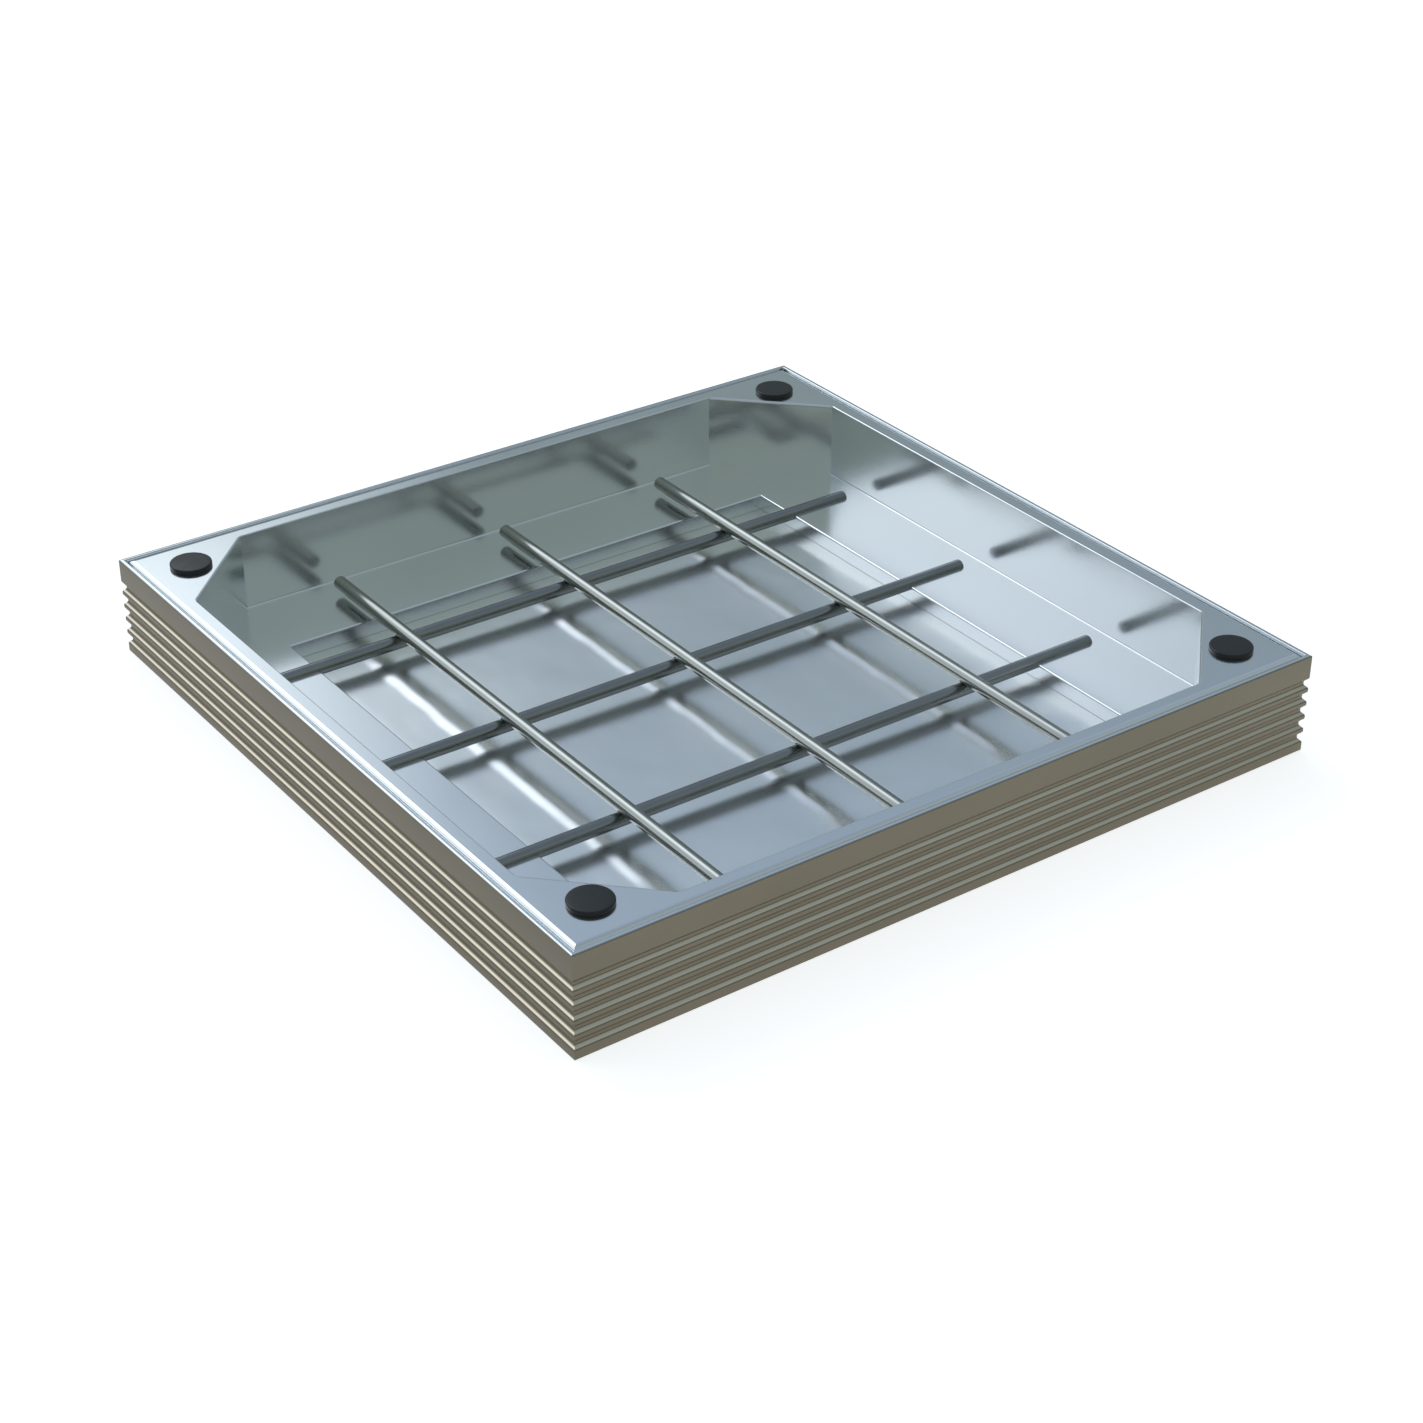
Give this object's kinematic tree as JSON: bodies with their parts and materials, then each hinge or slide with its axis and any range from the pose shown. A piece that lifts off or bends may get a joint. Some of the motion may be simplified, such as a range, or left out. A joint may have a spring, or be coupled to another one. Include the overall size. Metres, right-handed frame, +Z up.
{
  "type": "access cover",
  "caption": "Square recessed access cover: a ribbed aluminium frame holds a deep lift-out tray with crossed reinforcing bars and capped lifting corners.",
  "frame": {"origin": "middle of the frame's underside, at the centre of the clear opening", "axes": "+Z up, +X along the front side to the right, +Y from the front side to the back side"},
  "size_m": [0.7, 0.7, 0.092],
  "materials": {
    "frame_aluminium": "mill finish extrusion, slightly dulled",
    "tray_aluminium": "bright rolled sheet and extrusion",
    "bar_steel": "bright drawn bar",
    "socket_steel": "turned, plain",
    "cap_plastic": "black, slight sheen",
    "seal_rubber": "black cellular rubber"
  },
  "bodies": {
    "root": {"frame_rail_front": "frame_aluminium", "seat_gasket_front": "seal_rubber", "tray_rail_front": "tray_aluminium", "frame_rail_right": "frame_aluminium", "seat_gasket_right": "seal_rubber", "tray_rail_right": "tray_aluminium", "frame_rail_back": "frame_aluminium", "seat_gasket_back": "seal_rubber", "tray_rail_back": "tray_aluminium", "frame_rail_left": "frame_aluminium", "seat_gasket_left": "seal_rubber", "tray_rail_left": "tray_aluminium", "tray_floor": "tray_aluminium", "corner_box_front_left": "tray_aluminium", "lifting_socket_front_left": "socket_steel", "corner_cap_front_left": "cap_plastic", "corner_box_front_right": "tray_aluminium", "lifting_socket_front_right": "socket_steel", "corner_cap_front_right": "cap_plastic", "corner_box_back_right": "tray_aluminium", "lifting_socket_back_right": "socket_steel", "corner_cap_back_right": "cap_plastic", "corner_box_back_left": "tray_aluminium", "lifting_socket_back_left": "socket_steel", "corner_cap_back_left": "cap_plastic", "lower_bar_1": "bar_steel", "lower_bar_2": "bar_steel", "lower_bar_3": "bar_steel", "upper_bar_1": "bar_steel", "upper_bar_2": "bar_steel", "upper_bar_3": "bar_steel"}
  },
  "joints": []
}
